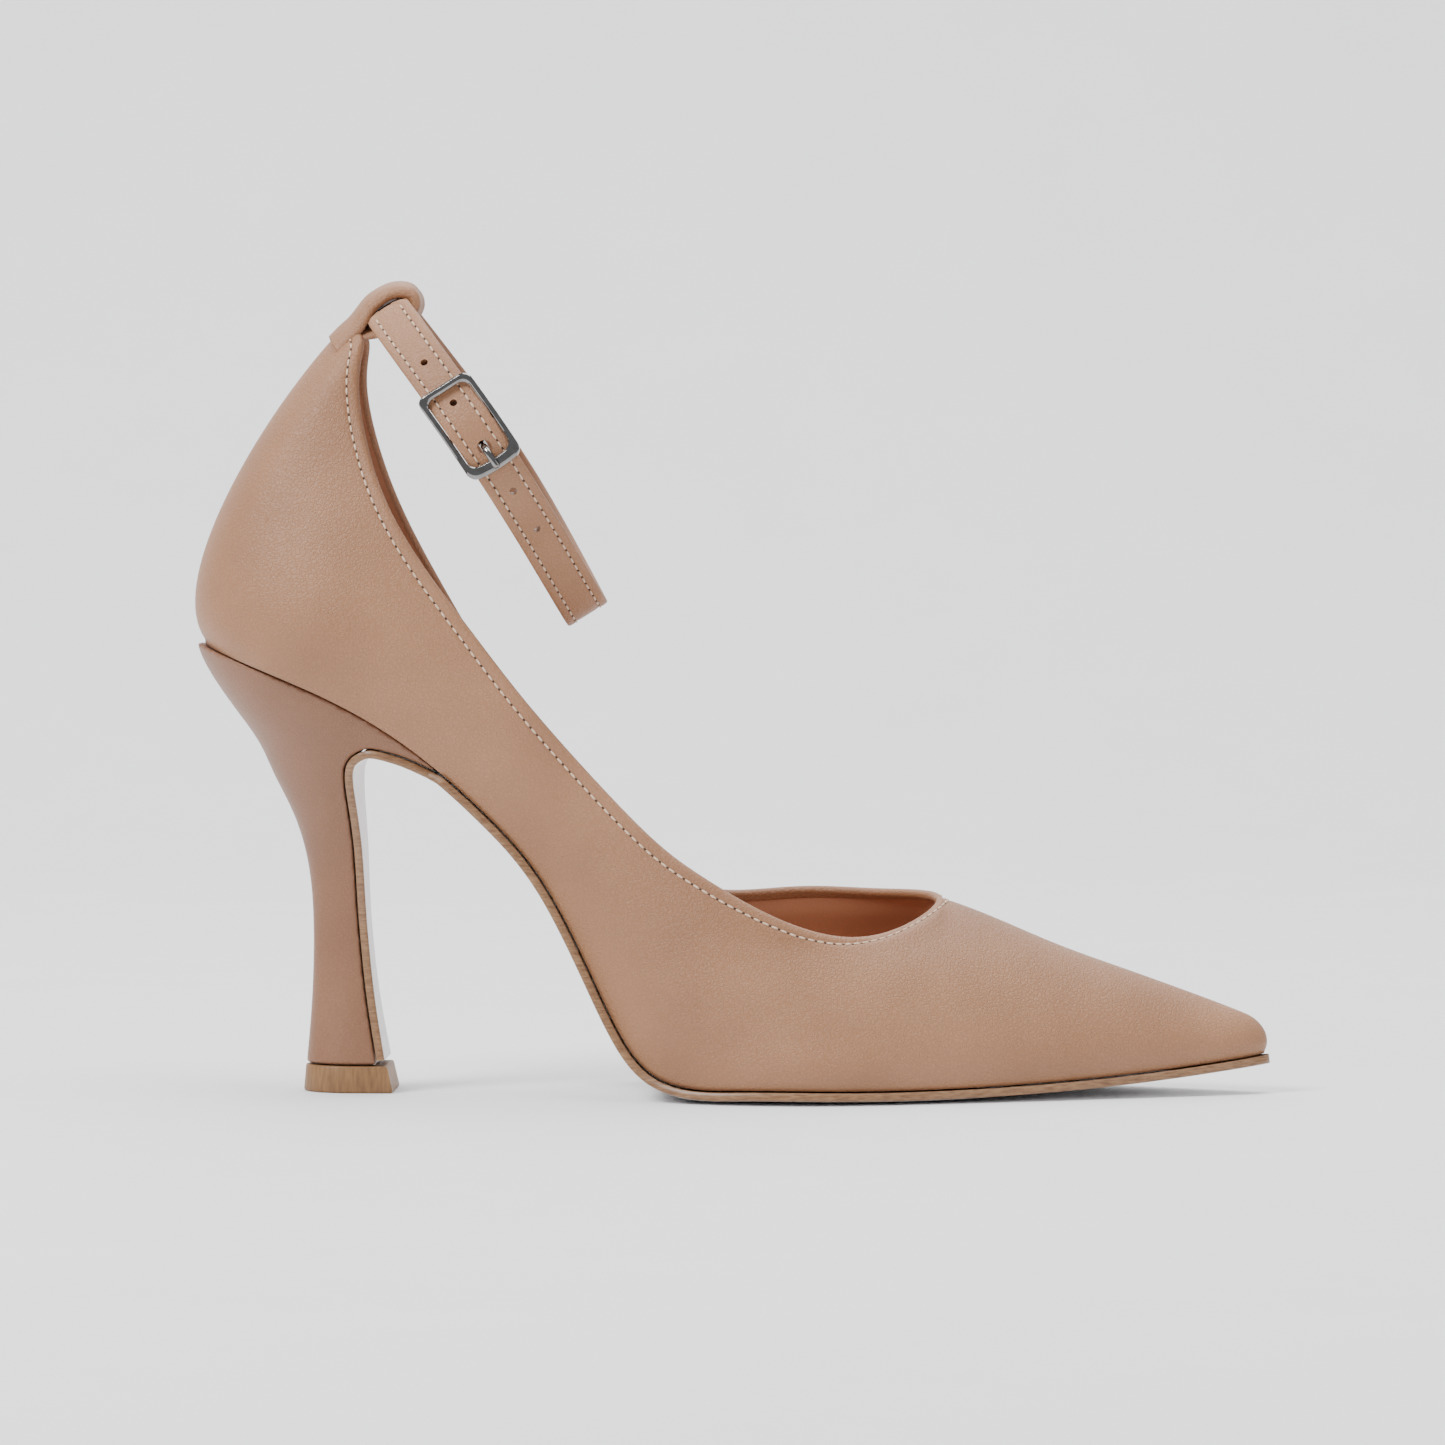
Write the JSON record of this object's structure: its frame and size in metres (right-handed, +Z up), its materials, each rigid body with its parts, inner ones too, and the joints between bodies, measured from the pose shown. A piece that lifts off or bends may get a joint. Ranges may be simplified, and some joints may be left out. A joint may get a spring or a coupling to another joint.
{
  "type": "ankle strap pump",
  "caption": "Pointed-toe high heel pump for the right foot with a closed heel, an ankle strap held in a tunnel at the back, and a centre-bar buckle.",
  "frame": {"origin": "on the ground, under the middle of the shoe's bounding box", "axes": "+X to the toe, +Y to the inner side of the foot, +Z up"},
  "size_m": [0.2264, 0.0716, 0.1711],
  "materials": {
    "nappa": "fine-grained nappa",
    "lining_leather": "smooth lining leather",
    "board": "pressed fibre board",
    "stiffener": "impregnated felt",
    "sole": "smooth lacquered sole leather",
    "heel_plastic": "moulded",
    "lift_rubber": "hard, satin",
    "steel": "plain",
    "buckle_metal": "polished",
    "foam": "foam"
  },
  "bodies": {
    "shoe": {"upper": "nappa", "vamp_lining": "lining_leather", "quarter_lining": "lining_leather", "toe_puff": "stiffener", "heel_counter": "stiffener", "heel_grip": "lining_leather", "insole_board": "board", "steel_shank": "steel", "shank_rivet_1": "steel", "shank_rivet_2": "steel", "bottom_filler": "foam", "heel_pad": "foam", "sock_lining": "lining_leather", "outsole": "sole", "heel_block": "heel_plastic", "heel_cover": "nappa", "heel_tube": "steel", "heel_screw": "steel", "heel_nail_1": "steel", "heel_nail_2": "steel", "heel_nail_3": "steel", "heel_nail_4": "steel", "top_lift": "lift_rubber", "top_lift_pin": "steel"},
    "ankle_strap": {"strap_tunnel": "nappa", "ankle_strap": "nappa", "ankle_strap_lining": "lining_leather", "buckle_frame": "buckle_metal"},
    "prong": {"buckle_prong": "buckle_metal"}
  },
  "joints": [
    {"name": "strap_swing", "type": "hinge", "parent": "shoe", "child": "ankle_strap", "pos_m": [-0.0795, 0, 0.161], "axis": [0, -1, 0], "range_deg": [-4, 58]},
    {"name": "prong_hinge", "type": "hinge", "parent": "ankle_strap", "child": "prong", "pos_m": [-0.05493, -0.02454, 0.1395], "axis": [-0.8471, 0, -0.5314], "range_deg": [0, 4]}
  ]
}
